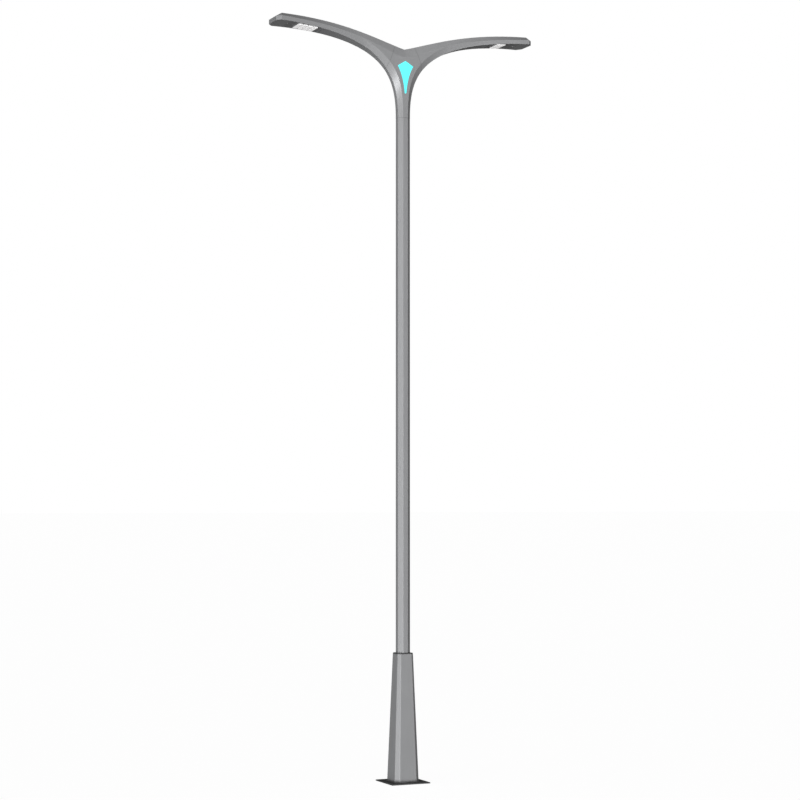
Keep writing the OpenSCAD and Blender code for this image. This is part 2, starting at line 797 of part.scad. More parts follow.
module kite_screws() {
    color(bare_metal) on_both_faces() at_kite_screws() {
        translate([0, 0, 1.5]) cylinder(r = kite_screw_r, h = board_from + kite_board_t);
        translate([0, 0, board_from + kite_board_t]) cylinder(r = 3.5, h = 3);
    }
}

module crown() {
    color(steel_grey) difference() {
        crown_solid(0, 0);
        crown_solid(crown_wall, 8);
        on_both_faces() {
            kite(1, -cut, 2 * crown_wall);
            kite_screw_holes();
        }
        crown_screw_holes(1);
        for (side = [0, 1]) mirror([side, 0, 0]) sleeve_screw_holes(-1);
    }
}

// ---------------------------------------------------------------- arms
// The right arm is drawn; the left one is its mirror image.

sleeve_inset = max(arm_wall, crown_wall) + fit;
sleeve_back = 0.13;
sleeve_ahead = 0.2;
sleeve_screw_r = 4;
sleeve_screw_off = 0.09;
sleeve_screw_seat = 0.4;
sleeve_set_back = 0.6;
sleeve_key_r = 2.3;

function sleeve_sections(d) =
    [for (i = [0:6]) root_section(-sleeve_back + (sleeve_back + sleeve_ahead) * i / 6, d)];

// Screws pass through the back face on both sides of the arm joint
function sleeve_screw_at(side) =
    let (s = side * sleeve_screw_off,
         lx = ramp(s, 0, seam_low, 1, merge_x), hx = ramp(s, 0, seam_high, 1, merge_x),
         middle = (point_at(low, lx) + point_at(high, hx)) / 2)
    [middle.x, (side_half(lx) + side_half(hx)) / 2 - sleeve_inset + sleeve_screw_seat, middle.y];

module sleeve_screw_holes(side) {
    p = sleeve_screw_at(side);
    translate([p.x, 0, p.z]) rotate([-90, 0, 0]) cylinder(r = sleeve_screw_r, h = 2 * face_half);
}

module arm_sleeve() {
    color(bare_metal)
        shell(sleeve_sections(sleeve_inset), sleeve_sections(sleeve_inset + sleeve_wall), false);
}

module sleeve_screws() {
    color(bare_metal) for (hand = [0, 1]) mirror([hand, 0, 0]) for (side = [-1, 1]) {
        translate(sleeve_screw_at(side)) rotate([-90, 0, 0]) difference() {
            cylinder(r = sleeve_screw_r - run, h = sleeve_inset - sleeve_set_back);
            translate([0, 0, sleeve_inset - key_depth])
                cylinder(r = sleeve_key_r, h = 2 * key_depth, $fn = 6);
        }
    }
}

tray_x1 = tip_x - tray_end;
tray_x0 = tray_x1 - tray_l;
tray_pin_r = 2;
tray_knuckle_r = 6;
tray_knuckle_half = 33;
arm_knuckle_end = 88;
knuckle_clear = 1;
tray_pivot_x = tray_x0 + tray_knuckle_r + knuckle_clear;
tray_pivot = point_at(under, tray_pivot_x);
tray_from = tray_pivot_x + tray_knuckle_r + knuckle_clear;
tray_gap = 1.5;
tray_ledge = 8;
tray_seal_t = 1.5;
seal_from = tray_t + fit;
seal_to = seal_from + tray_seal_t;
tray_frame_t = 3.5;
frame_to = seal_to + tray_frame_t;
opening_depth = 100;
hinge_strip_l = 16;
hinge_strip_t = 1.7;
knuckle_gap = 0.5;
tray_steps = 8;

function opening_half(x) = under_half(x) - tray_rim;

// A curved plate that follows the underside from x0 to x1, between two depths above it
module under_plate(x0, x1, trim, from, to) {
    rows = [for (i = [0:tray_steps]) let (x = x0 + (x1 - x0) * i / tray_steps,
            half = opening_half(x) - trim, a = point_at(under, x, -from), b = point_at(under, x, -to))
        [[a.x, -half, a.y], [b.x, -half, b.y], [b.x, half, b.y], [a.x, half, a.y]]];
    points = [for (row = rows) each row];
    last = 4 * tray_steps;
    polyhedron(points, concat([[3, 2, 1, 0], [last, last + 1, last + 2, last + 3]],
        [for (r = [0:tray_steps - 1], c = [0:3]) let (a = 4 * r + c, b = 4 * r + (c + 1) % 4)
            each [[a, b, b + 4], [a, b + 4, a + 4]]]));
}

// Stands its children on the arm's underside at x, with +Z pointing into the arm
module on_underside(x) {
    p = point_at(under, x);
    translate([p.x, 0, p.y]) rotate([0, -atan(slope_at(under, x)), 0]) children();
}

// Knuckle between two places along the pivot, with the strip that joins it to its plate
module tray_knuckle(y0, y1, strip) {
    on_underside(tray_pivot_x) difference() {
        union() {
            translate([0, y0, 0]) rotate([-90, 0, 0]) cylinder(r = tray_knuckle_r, h = y1 - y0);
            translate([strip[0], y0, strip[1]]) cube([strip[2], y1 - y0, strip[3]]);
        }
        translate([0, y0 - cut, 0]) rotate([-90, 0, 0])
            cylinder(r = tray_pin_r + run, h = y1 - y0 + 2 * cut);
    }
}

module arm() {
    difference() {
        shell(arm_sections(0, 0), arm_sections(arm_wall, 0.02), true);
        translate([0, 0, tray_pivot.y - opening_depth])
            linear_extrude(height = point_at(under, tray_x1).y + 2 * frame_to - tray_pivot.y + opening_depth)
            polygon([for (p = [[tray_x0, -1], [tray_x1, -1], [tray_x1, 1], [tray_x0, 1]])
                [p.x, p.y * opening_half(p.x)]]);
        sleeve_screw_holes(1);
    }
}

// The arm's half of the tray hinge, screwed down on the inside of the underside
module tray_hinge() {
    strip = [-tray_knuckle_r - hinge_strip_l, arm_wall + fit,
             tray_knuckle_r + hinge_strip_l, hinge_strip_t];
    color(zinc) for (y = [-arm_knuckle_end, tray_knuckle_half + knuckle_gap])
        tray_knuckle(y, y + arm_knuckle_end - tray_knuckle_half - knuckle_gap, strip);
}

module tray_pin() {
    color(bare_metal) translate([tray_pivot.x, -arm_knuckle_end, tray_pivot.y])
        rotate([-90, 0, 0]) cylinder(r = tray_pin_r, h = 2 * arm_knuckle_end);
}

module tray_frame() {
    color(zinc) difference() {
        under_plate(tray_from + 0.5, tray_x1 + 4, -4, arm_wall + fit, frame_to);
        under_plate(tray_from - 1, tray_x1 + 0.5, -0.5, 0, seal_to);
        under_plate(tray_from + tray_ledge, tray_x1 - tray_ledge, tray_ledge, 0, 2 * frame_to);
    }
}

module tray_seal() {
    color(black_rubber) difference() {
        under_plate(tray_from + 0.7, tray_x1 + 0.3, -0.3, seal_from, seal_to - 0.2);
        under_plate(tray_from + tray_ledge - 0.5, tray_x1 - tray_ledge + 0.5, tray_ledge - 0.5,
                    0, 2 * frame_to);
    }
}

latch_x = tray_x1 - tray_ledge - 10;
latch_r = 4;
latch_wing = 24;

module tray() {
    color(dark_grey) {
        difference() {
            under_plate(tray_from, tray_x1 - tray_gap, tray_gap, 0, tray_t);
            on_underside(latch_x) translate([0, 0, -cut])
                cylinder(r = latch_r + run, h = tray_t + 2 * cut);
        }
        tray_knuckle(-tray_knuckle_half, tray_knuckle_half,
                     [0, 0.5, tray_knuckle_r + 3, tray_t - 1]);
    }
}

// Quarter-turn stud; its wing lies across the arm when unlocked
module latch() {
    head_h = 3;
    head_gap = 0.2;
    slot_l = 12;
    slot_w = 2;
    slot_d = 1.2;
    wing_gap = 1;
    wing_t = 3;
    color(bare_metal) on_underside(latch_x) {
        difference() {
            translate([0, 0, -head_gap - head_h]) cylinder(r = 2 * latch_r, h = head_h);
            translate([-slot_l / 2, -slot_w / 2, -head_gap - head_h - slot_d])
                cube([slot_l, slot_w, 2 * slot_d]);
        }
        translate([0, 0, -head_gap - cut]) cylinder(r = latch_r, h = frame_to + wing_gap + head_gap + cut);
        translate([-latch_r, -latch_wing, frame_to + wing_gap])
            cube([2 * latch_r, 2 * latch_wing, wing_t]);
    }
}

led_mid_left = tip_x - 363;
led_mid_right = tip_x - 351;
seat_gap = 0.2;
led_board_t = 1.6;
led_wall = 2;

module at_leds(count, mid) {
    for (i = [0:count - 1]) on_underside(mid + (i - (count - 1) / 2) * led_pitch) children();
}

module led_blocks(count, mid) {
    color(lamp_white) at_leds(count, mid) difference() {
        translate([-led_w / 2, -led_l / 2, -led_t]) cube([led_w, led_l, led_t - seat_gap]);
        translate([-led_w / 2 + led_wall, -led_l / 2 + led_wall, -led_board_t - 2 * seat_gap])
            cube([led_w - 2 * led_wall, led_l - 2 * led_wall, led_t]);
    }
}

module led_boards(count, mid) {
    margin = led_wall + seat_gap;
    color("white") at_leds(count, mid)
        translate([-led_w / 2 + margin, -led_l / 2 + margin, -seat_gap - led_board_t])
            cube([led_w - 2 * margin, led_l - 2 * margin, led_board_t]);
}

sink_d = 140;
fin_h = 18;
fin_t = 3;
fin_gaps = 8;
sink_base_t = 4;
module heat_sink(count, mid) {
    length = count * led_pitch;
    color(bare_metal) on_underside(mid) translate([-length / 2, 0, tray_t + seat_gap]) {
        translate([0, -sink_d / 2, 0]) cube([length, sink_d, sink_base_t]);
        for (i = [0:fin_gaps])
            translate([0, -sink_d / 2 + i * (sink_d - fin_t) / fin_gaps, sink_base_t])
                cube([length, fin_t, fin_h]);
    }
}

driver_l = 150;
driver_w = 60;
driver_h = 32;
driver_x = tray_x0 - driver_l / 2 - 70;
module driver() {
    color("silver") on_underside(driver_x) translate([-driver_l / 2, -driver_w / 2, arm_wall + fit])
        cube([driver_l, driver_w, driver_h]);
}

// ---------------------------------------------------------------- cables

riser_r = 6.5;
arm_cable_r = 5;
cable_sides = 8;
cable_lie = sleeve_inset + sleeve_wall + arm_cable_r + 4 * fit;
cable_steps = 24;

// Round cable along points of the XZ plane
module cable(path, r) {
    n = len(path);
    rings = [for (i = [0:n - 1])
        let (d = path[min(i + 1, n - 1)] - path[max(i - 1, 0)], side = [d.y, -d.x] / norm(d))
        for (k = [0:cable_sides - 1]) let (turn = 360 * (k + 0.5) / cable_sides)
            [path[i].x + r * cos(turn) * side.x, r * sin(turn), path[i].y + r * cos(turn) * side.y]];
    polyhedron(rings, concat(
        [[for (k = [0:cable_sides - 1]) k]],
        [[for (k = [cable_sides - 1:-1:0]) (n - 1) * cable_sides + k]],
        [for (i = [0:n - 2], k = [0:cable_sides - 1])
            let (a = i * cable_sides + k, b = i * cable_sides + (k + 1) % cable_sides)
            each [[a, a + cable_sides, b + cable_sides], [a, b + cable_sides, b]]]));
}

module arm_cable() {
    join_x = seam_bottom * 0.75;
    join = point_at(under, join_x, -cable_lie);
    way = bezier_way(under, t_at(under, join_x));
    start = [box_w / 2 - 14, pole_top + spigot_up + box_h + fit];
    rise = norm(join - start) * 0.4;
    end_x = driver_x - driver_l / 2 - 1;
    loom = [start, start + [0, rise], join - rise * way, join];
    color(black_rubber) cable(concat([for (i = [0:8]) bezier(loom, i / 8)],
        [for (i = [1:cable_steps])
            point_at(under, join_x + (end_x - join_x) * i / cable_steps, -cable_lie)]), arm_cable_r);
}

// From the cut-out up the middle of the pole to the junction box
module riser_cable() {
    depth = column_wall + spacer_l + board_t + cutout_base_d / 2;
    up = cutout_z + cutout_h / 2 + 2 * fit;
    start = [depth * cos(column_tilt) + up * sin(column_tilt) - column_w(door_z) / 2,
             door_z + up * cos(column_tilt) - depth * sin(column_tilt)];
    bend = [start, start + [0, 120], [0, start.y + 60], [0, start.y + 180]];
    color(black_rubber) rotate([0, 0, 90])
        cable(concat([for (i = [0:8]) bezier(bend, i / 8)], [[0, pole_top + spigot_up - fit]]), riser_r);
}

// ---------------------------------------------------------------- left and right pieces

module left() { mirror([1, 0, 0]) children(); }

module arm_left() { color(steel_grey) left() arm(); }
module arm_right() { color(steel_grey) arm(); }
module arm_sleeve_left() { left() arm_sleeve(); }
module arm_sleeve_right() { arm_sleeve(); }
module arm_cable_left() { left() arm_cable(); }
module arm_cable_right() { arm_cable(); }
module driver_left() { left() driver(); }
module driver_right() { driver(); }
module tray_frame_left() { left() tray_frame(); }
module tray_frame_right() { tray_frame(); }
module tray_hinge_left() { left() tray_hinge(); }
module tray_hinge_right() { tray_hinge(); }
module tray_seal_left() { left() tray_seal(); }
module tray_seal_right() { tray_seal(); }
module tray_left() { left() tray(); }
module tray_right() { tray(); }
module tray_pin_left() { left() tray_pin(); }
module tray_pin_right() { tray_pin(); }
module latch_left() { left() latch(); }
module latch_right() { latch(); }
module heat_sink_left() { left() heat_sink(leds_left, led_mid_left); }
module heat_sink_right() { heat_sink(leds_right, led_mid_right); }
module led_boards_left() { left() led_boards(leds_left, led_mid_left); }
module led_boards_right() { led_boards(leds_right, led_mid_right); }
module led_blocks_left() { left() led_blocks(leds_left, led_mid_left); }
module led_blocks_right() { led_blocks(leds_right, led_mid_right); }

base_plate();
earth_stud();
base_column();
column_cap();
pole_seat();
pole_foot();
pole_bolts();
pole();
door_frame();
door_seal();
door();
hinge_leaves();
hinge_pins();
lock_body();
lock_cam();
board_spacers();
equipment_board();
cutout_base();
cutout_cover();
fuse_carrier();
riser_cable();
crown_spigot();
crown_screws();
junction_box();
crown();
kite_seals();
kite_lens_front();
kite_lens_back();
kite_frames();
kite_boards();
kite_screws();
arm_left();
arm_right();
arm_sleeve_left();
arm_sleeve_right();
sleeve_screws();
arm_cable_left();
arm_cable_right();
driver_left();
driver_right();
tray_frame_left();
tray_frame_right();
tray_hinge_left();
tray_hinge_right();
tray_seal_left();
tray_seal_right();
tray_left();
tray_right();
tray_pin_left();
tray_pin_right();
latch_left();
latch_right();
heat_sink_left();
heat_sink_right();
led_boards_left();
led_boards_right();
led_blocks_left();
led_blocks_right();
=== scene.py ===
import json
import math

import bmesh
import bpy
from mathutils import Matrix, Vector


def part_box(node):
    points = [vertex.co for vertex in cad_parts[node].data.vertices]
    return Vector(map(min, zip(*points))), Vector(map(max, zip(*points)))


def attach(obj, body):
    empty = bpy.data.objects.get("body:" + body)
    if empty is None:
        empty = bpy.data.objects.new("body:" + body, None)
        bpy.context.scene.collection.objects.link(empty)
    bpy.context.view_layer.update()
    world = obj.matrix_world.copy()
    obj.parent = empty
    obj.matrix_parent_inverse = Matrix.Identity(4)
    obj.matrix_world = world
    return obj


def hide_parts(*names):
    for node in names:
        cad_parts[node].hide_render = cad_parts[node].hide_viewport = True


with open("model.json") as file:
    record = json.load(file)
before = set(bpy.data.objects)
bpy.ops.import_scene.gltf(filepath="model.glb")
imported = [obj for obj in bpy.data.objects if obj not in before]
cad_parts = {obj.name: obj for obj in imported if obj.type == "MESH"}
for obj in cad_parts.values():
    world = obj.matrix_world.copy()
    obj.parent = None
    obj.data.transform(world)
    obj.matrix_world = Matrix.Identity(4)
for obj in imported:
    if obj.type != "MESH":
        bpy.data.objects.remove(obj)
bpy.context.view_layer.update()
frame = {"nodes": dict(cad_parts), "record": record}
body_of_node = {n: b for b, ns in frame["record"]["behaviour"]["bodies"].items() for n in ns}


# ---- Anchor plate -------------------------------------------------------------------
# A flame-cut steel plate with four anchor holes, coated dark grey like the ring above it.
# Its edges are only broken with a grinder, and dust and rain marks gather on its top.

def node_group(name, inputs, outputs):
    """An empty shader group with named value, vector or colour sockets."""
    kinds = {"value": "NodeSocketFloat", "vector": "NodeSocketVector", "colour": "NodeSocketColor"}
    tree = bpy.data.node_groups.new(name, "ShaderNodeTree")
    for label, kind, default in inputs:
        socket = tree.interface.new_socket(label, in_out="INPUT", socket_type=kinds[kind])
        socket.default_value = default
    for label, kind in outputs:
        tree.interface.new_socket(label, in_out="OUTPUT", socket_type=kinds[kind])
    return tree, tree.nodes.new("NodeGroupInput"), tree.nodes.new("NodeGroupOutput")


def add(tree, kind, inputs=(), **settings):
    """A node with its settings; inputs maps a socket to a value or to another node's output."""
    made = tree.nodes.new(kind)
    for key, value in settings.items():
        setattr(made, key, value)
    for key, value in dict(inputs).items():
        if isinstance(value, bpy.types.NodeSocket):
            tree.links.new(value, made.inputs[key])
        else:
            made.inputs[key].default_value = value
    return made


def calc(tree, how, a, b=0.0, c=0.0, clamp=False):
    return add(tree, "ShaderNodeMath", {0: a, 1: b, 2: c}, operation=how, use_clamp=clamp).outputs[0]


def ramp(tree, value, low, high):
    """0 below low and 1 above high, eased between them."""
    return add(tree, "ShaderNodeMapRange", {"Value": value, "From Min": low, "From Max": high},
               interpolation_type="SMOOTHSTEP").outputs[0]


def blend_colour(tree, share, a, b):
    made = add(tree, "ShaderNodeMix", {"Factor": share}, data_type="RGBA")
    for socket, value in ((made.inputs[6], a), (made.inputs[7], b)):
        if isinstance(value, bpy.types.NodeSocket):
            tree.links.new(value, socket)
        else:
            socket.default_value = (*value, 1.0)
    return made.outputs[2]


def shade(colour, factor, lift=0.0):
    return [min(1.0, c * factor + lift) for c in colour]


def own_place(tree):
    return add(tree, "ShaderNodeTexCoord").outputs["Object"]


def stretched(tree, place, by):
    """Coordinates with each axis multiplied, which draws a pattern out along an axis."""
    return add(tree, "ShaderNodeVectorMath", {0: place, 1: by}, operation="MULTIPLY").outputs[0]


# Uneven tone and fine grain; Stretch squeezes the pattern along an axis, as brushing does
tree, given, out = node_group(
    "grain", [("Scale", "value", 400.0), ("Stretch", "vector", (1, 1, 1))],
    [("Tone", "value"), ("Grain", "value")])
place = own_place(tree)
drawn = stretched(tree, place, given.outputs["Stretch"])
broad = add(tree, "ShaderNodeTexNoise", {"Vector": drawn, "Scale": 3.5, "Detail": 5.0, "Roughness": 0.6})
fine = add(tree, "ShaderNodeTexNoise", {"Vector": drawn, "Scale": given.outputs["Scale"], "Detail": 2.0})
tree.links.new(broad.outputs["Fac"], out.inputs["Tone"])
tree.links.new(fine.outputs["Fac"], out.inputs["Grain"])
grain_group = tree

# Edges rubbed by hands, tools and weather
tree, given, out = node_group(
    "rubbed_edge", [("Width", "value", 0.002), ("Amount", "value", 0.5)], [("Mask", "value")])
rounded = add(tree, "ShaderNodeBevel", {"Radius": given.outputs["Width"]}, samples=4)
flat = add(tree, "ShaderNodeNewGeometry")
match = add(tree, "ShaderNodeVectorMath", {0: rounded.outputs[0], 1: flat.outputs["Normal"]},
            operation="DOT_PRODUCT")
edge = ramp(tree, match.outputs["Value"], 0.995, 0.9)
patches = add(tree, "ShaderNodeTexNoise", {"Vector": own_place(tree), "Scale": 60.0, "Detail": 4.0})
broken = calc(tree, "MULTIPLY", edge, ramp(tree, patches.outputs["Fac"], 0.4, 0.65))
tree.links.new(calc(tree, "MULTIPLY", broken, given.outputs["Amount"]), out.inputs["Mask"])
edge_group = tree

# Dust that settles on faces that look up and splashes near the ground, and rain streaks
tree, given, out = node_group(
    "weather", [("Dust", "value", 0.3), ("Splash height", "value", 0.5)],
    [("Dust", "value"), ("Streaks", "value")])
place = own_place(tree)
parts = add(tree, "ShaderNodeSeparateXYZ", {0: place})
up = add(tree, "ShaderNodeSeparateXYZ", {0: add(tree, "ShaderNodeNewGeometry").outputs["Normal"]})
cloud = add(tree, "ShaderNodeTexNoise", {"Vector": place, "Scale": 14.0, "Detail": 6.0, "Roughness": 0.65})
settled = ramp(tree, up.outputs["Z"], 0.35, 0.95)
splash = ramp(tree, calc(tree, "DIVIDE", parts.outputs["Z"], given.outputs["Splash height"]), 1.0, 0.0)
lying = calc(tree, "MAXIMUM", settled, calc(tree, "MULTIPLY", splash, 0.7))
dusty = calc(tree, "MULTIPLY", lying, ramp(tree, cloud.outputs["Fac"], 0.3, 0.7))
tree.links.new(calc(tree, "MULTIPLY", dusty, given.outputs["Dust"]), out.inputs["Dust"])
runs = stretched(tree, place, (1.0, 1.0, 0.03))
run = add(tree, "ShaderNodeTexNoise", {"Vector": runs, "Scale": 55.0, "Detail": 3.0})
tree.links.new(ramp(tree, run.outputs["Fac"], 0.5, 0.8), out.inputs["Streaks"])
weather_group = tree

# Dirt held in the hairline joints: the level one at the pole's top, and the slanted ones
# where the arms meet the crown; both are measured on the CAD nodes
crown_points = [v.co for v in frame["nodes"]["crown"].data.vertices]
pole_end = max(v.co.z for v in frame["nodes"]["pole"].data.vertices)
seam_tilt = math.radians(20.7)
outwards = Vector((math.cos(seam_tilt), 0, math.sin(seam_tilt)))
inwards = Vector((-outwards.x, 0, outwards.z))
seam_reach = max(p.dot(outwards) for p in crown_points)
tree, given, out = node_group("joint_dirt", [("Width", "value", 0.0035)], [("Dirt", "value")])
parts = add(tree, "ShaderNodeSeparateXYZ", {0: own_place(tree)})
reach = calc(tree, "MULTIPLY", calc(tree, "ABSOLUTE", parts.outputs["X"]), outwards.x)
reach = calc(tree, "MULTIPLY_ADD", parts.outputs["Z"], outwards.z, reach)
slanted = calc(tree, "ABSOLUTE", calc(tree, "SUBTRACT", reach, seam_reach))
level = calc(tree, "ABSOLUTE", calc(tree, "SUBTRACT", parts.outputs["Z"], pole_end))
nearest = calc(tree, "DIVIDE", calc(tree, "MINIMUM", slanted, level), given.outputs["Width"])
tree.links.new(calc(tree, "MULTIPLY", ramp(tree, nearest, 1.0, 0.35), 0.4), out.inputs["Dirt"])
joint_group = tree


def use(tree, group, **inputs):
    made = tree.nodes.new("ShaderNodeGroup")
    made.node_tree = group
    for key, value in inputs.items():
        made.inputs[key.replace("_", " ")].default_value = value
    return made.outputs


def new_material(name, **constants):
    """A material with its Principled shader, whose constant sockets are set directly."""
    mat = bpy.data.materials.new(name)
    mat.use_nodes = True
    shader = mat.node_tree.nodes["Principled BSDF"]
    for key, value in constants.items():
        shader.inputs[key.replace("_", " ")].default_value = value
    return mat, mat.node_tree, shader


def bump(tree, shader, height, distance):
    made = add(tree, "ShaderNodeBump", {"Height": height, "Distance": distance, "Strength": 1.0})
    tree.links.new(made.outputs[0], shader.inputs["Normal"])


dust_colour = (0.2, 0.19, 0.175)
primer_colour = (0.5, 0.5, 0.5)
joint_colour = (0.03, 0.03, 0.03)


def powder_coat(name, colour, dust=0.25, splash=0.5, roughness=0.34, joints=False):
    """Satin polyester powder over primed steel: orange peel, rubbed edges, dust and streaks."""
    mat, tree, shader = new_material(name, Metallic=0.0, IOR=1.5)
    grain = use(tree, grain_group, Scale=520.0)
    weather = use(tree, weather_group, Dust=dust, Splash_height=splash)
    edge = use(tree, edge_group, Width=0.0018, Amount=0.35)
    toned = blend_colour(tree, grain["Tone"], shade(colour, 0.93), shade(colour, 1.07))
    speckled = blend_colour(tree, calc(tree, "MULTIPLY", grain["Grain"], 0.12), toned,
                            shade(colour, 1.25))
    streaked = blend_colour(tree, calc(tree, "MULTIPLY", weather["Streaks"], 0.16), speckled,
                            shade(colour, 0.72))
    dusted = blend_colour(tree, weather["Dust"], streaked, dust_colour)
    rubbed = blend_colour(tree, edge["Mask"], dusted, primer_colour)
    if joints:
        rubbed = blend_colour(tree, use(tree, joint_group)["Dirt"], rubbed, joint_colour)
    tree.links.new(rubbed, shader.inputs["Base Color"])
    rough = calc(tree, "MULTIPLY_ADD", grain["Tone"], 0.14, roughness - 0.07)
    rough = calc(tree, "MULTIPLY_ADD", weather["Dust"], 0.4, rough, clamp=True)
    tree.links.new(rough, shader.inputs["Roughness"])
    bump(tree, shader, grain["Grain"], 0.00003)
    return mat


merge_gap = 0.00002
flat_angle = math.radians(0.4)
seam_bevel = 0.0022


def cad_copy(node):
    """A CAD node's mesh with doubled points merged and flat faces joined."""
    bm = bmesh.new()
    bm.from_mesh(frame["nodes"][node].data)
    bmesh.ops.remove_doubles(bm, verts=bm.verts, dist=merge_gap)
    bmesh.ops.dissolve_limit(bm, angle_limit=flat_angle, verts=bm.verts, edges=bm.edges)
    return bm


def bevel(bm, edges, width, segments):
    bmesh.ops.bevel(bm, geom=edges, offset=width, segments=segments, profile=0.5,
                    affect="EDGES", material=-1, clamp_overlap=True)


def finished(node, material, radius=0.001, angle=30, segments=2, longer_than=0.0, sharp=35,
             joints=()):
    """A merged copy of a CAD node with its outside edges rounded, standing for the node.
    Edges of faces that look along one of joints get a wider bevel, which shows as a seam."""
    bm = cad_copy(node)
    corner = math.radians(angle)
    edges = [e for e in bm.edges if e.is_manifold and e.is_convex
             and e.calc_face_angle(0.0) > corner and e.calc_length() > longer_than]
    seam = [e for e in edges
            if any(f.normal.dot(Vector(j)) > 0.999 for f in e.link_faces for j in joints)]
    edges = list(set(edges) - set(seam))
    if seam:
        bevel(bm, seam, seam_bevel, 1)
        edges = [e for e in edges if e.is_valid]
    if radius:
        bevel(bm, edges, radius, segments)
    stand_for(bm, node, material, sharp=sharp)


def stand_for(bm, node, material, name=None, sharp=35):
    """Makes the bmesh a smooth-shaded object with the given material that rides on its CAD node's body,
    and hides the node.
    """
    mesh = bpy.data.meshes.new(name or node + "_piece")
    bmesh.ops.recalc_face_normals(bm, faces=bm.faces)
    bm.to_mesh(mesh)
    bm.free()
    mesh.shade_smooth()
    mesh.set_sharp_from_angle(angle=math.radians(sharp))
    mesh.materials.clear()
    mesh.materials.append(material)
    piece = bpy.data.objects.new(name or node + "_piece", mesh)
    bpy.context.scene.collection.objects.link(piece)
    weight = piece.modifiers.new("even_normals", "WEIGHTED_NORMAL")
    weight.keep_sharp = True
    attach(piece, body_of_node[node])
    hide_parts(node)


dark_paint = powder_coat("dark_paint", (0.06, 0.06, 0.062), dust=0.1, splash=0.05, roughness=0.42)
finished("base_plate", dark_paint, radius=0.0012)


# ---- Earth stud ---------------------------------------------------------------------
# A brass stud with nuts and a washer, screwed into the plate inside the column.
# Turned brass, dulled by damp air, with fine rings left by the lathe.

def worked_metal(name, colour, tarnish, roughness, stretch):
    """Bare metal with the marks of its making and a duller film in patches."""
    mat, tree, shader = new_material(name, IOR=1.5)
    grain = use(tree, grain_group, Scale=300.0, Stretch=stretch)
    edge = use(tree, edge_group, Width=0.0008, Amount=0.4)
    film = ramp(tree, grain["Tone"], 0.42, 0.7)
    toned = blend_colour(tree, film, colour, tarnish)
    tree.links.new(blend_colour(tree, edge["Mask"], toned, shade(colour, 1.25)),
                   shader.inputs["Base Color"])
    tree.links.new(calc(tree, "MULTIPLY_ADD", grain["Grain"], 0.25, roughness - 0.08, clamp=True),
                   shader.inputs["Roughness"])
    tree.links.new(calc(tree, "MULTIPLY_ADD", film, -0.2, 1.0), shader.inputs["Metallic"])
    bump(tree, shader, grain["Grain"], 0.00012)
    return mat


brass = worked_metal("brass", (0.62, 0.45, 0.18), (0.3, 0.2, 0.09), 0.32, (1, 1, 6))
finished("earth_stud", brass, radius=0.0006)


# ---- Column -------------------------------------------------------------------------
# Folded 5 mm steel, tapered, with chamfered corners and a guide plate welded in at its top.
# The folds are rounded, and a ground fillet weld runs round its foot on the plate.

grey_paint = powder_coat("grey_paint", (0.285, 0.285, 0.289), dust=0.1, splash=0.16, joints=True)
long_fold = 0.7
finished("base_column", grey_paint, radius=0.0042, angle=20, segments=4, longer_than=long_fold)

foot_low, foot_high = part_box("base_column")
foot_z = foot_low.z
foot_band = 0.0005
rim_band = 0.0008
foot_points = [v.co for v in frame["nodes"]["base_column"].data.vertices
               if v.co.z < foot_z + foot_band
               and max(abs(v.co.x), abs(v.co.y)) > foot_high.x - rim_band]
corners = sorted({(round(p.x, 5), round(p.y, 5)) for p in foot_points},
                 key=lambda p: math.atan2(p[1], p[0]))
bm = bmesh.new()
ring = [bm.verts.new((x, y, foot_z)) for x, y in corners]
loop = [bm.edges.new((ring[i], ring[i - 1])) for i in range(len(ring))]
weld_leg = 0.006


def only(kind, made):
    return [g for g in made if isinstance(g, kind)]


wide = bmesh.ops.extrude_edge_only(bm, edges=loop)["geom"]
for v in only(bmesh.types.BMVert, wide):
    v.co.x *= 1 + weld_leg / foot_high.x
    v.co.y *= 1 + weld_leg / foot_high.y
high = bmesh.ops.extrude_edge_only(bm, edges=only(bmesh.types.BMEdge, wide))["geom"]
for v in only(bmesh.types.BMVert, high):
    v.co.x /= 1 + weld_leg / foot_high.x
    v.co.y /= 1 + weld_leg / foot_high.y
    v.co.z += weld_leg
bmesh.ops.bridge_loops(bm, edges=loop + only(bmesh.types.BMEdge, high))
stand_for(bm, "base_column", grey_paint, name="foot_weld")


# ---- Dark ring ----------------------------------------------------------------------
# A thin coated ring that closes the step between the column's top and the pole.
# Its dark coat is painted shade: it draws the dark line of shade at the column's top, under the pole. Only
# its rim shows, with a broken edge.

finished("column_cap", dark_paint, radius=0.0015)


# ---- Pole's seat and bolts ----------------------------------------------------------
# Galvanised plates: one welded into the column, one to the pole, held by four bolts.
# The zinc shows its frosted crystals.

def galvanised_steel(name, colour):
    """Hot-dip zinc: flat crystals of slightly different grey, dulled in patches."""
    mat, tree, shader = new_material(name, IOR=1.5)
    place = own_place(tree)
    crystals = add(tree, "ShaderNodeTexVoronoi", {"Vector": place, "Scale": 130.0, "Randomness": 1.0})
    crystal = add(tree, "ShaderNodeSeparateColor", {0: crystals.outputs["Color"]}).outputs[0]
    grain = use(tree, grain_group, Scale=240.0)
    toned = blend_colour(tree, crystal, shade(colour, 0.78), shade(colour, 1.12))
    dulled = blend_colour(tree, ramp(tree, grain["Tone"], 0.5, 0.75), toned, shade(colour, 0.6))
    tree.links.new(dulled, shader.inputs["Base Color"])
    tree.links.new(calc(tree, "MULTIPLY_ADD", crystal, 0.2, 0.34), shader.inputs["Roughness"])
    tree.links.new(calc(tree, "MULTIPLY_ADD", grain["Tone"], -0.2, 0.95), shader.inputs["Metallic"])
    relief = calc(tree, "ADD", calc(tree, "MULTIPLY", crystal, 0.3), grain["Grain"])
    bump(tree, shader, relief, 0.00015)
    return mat


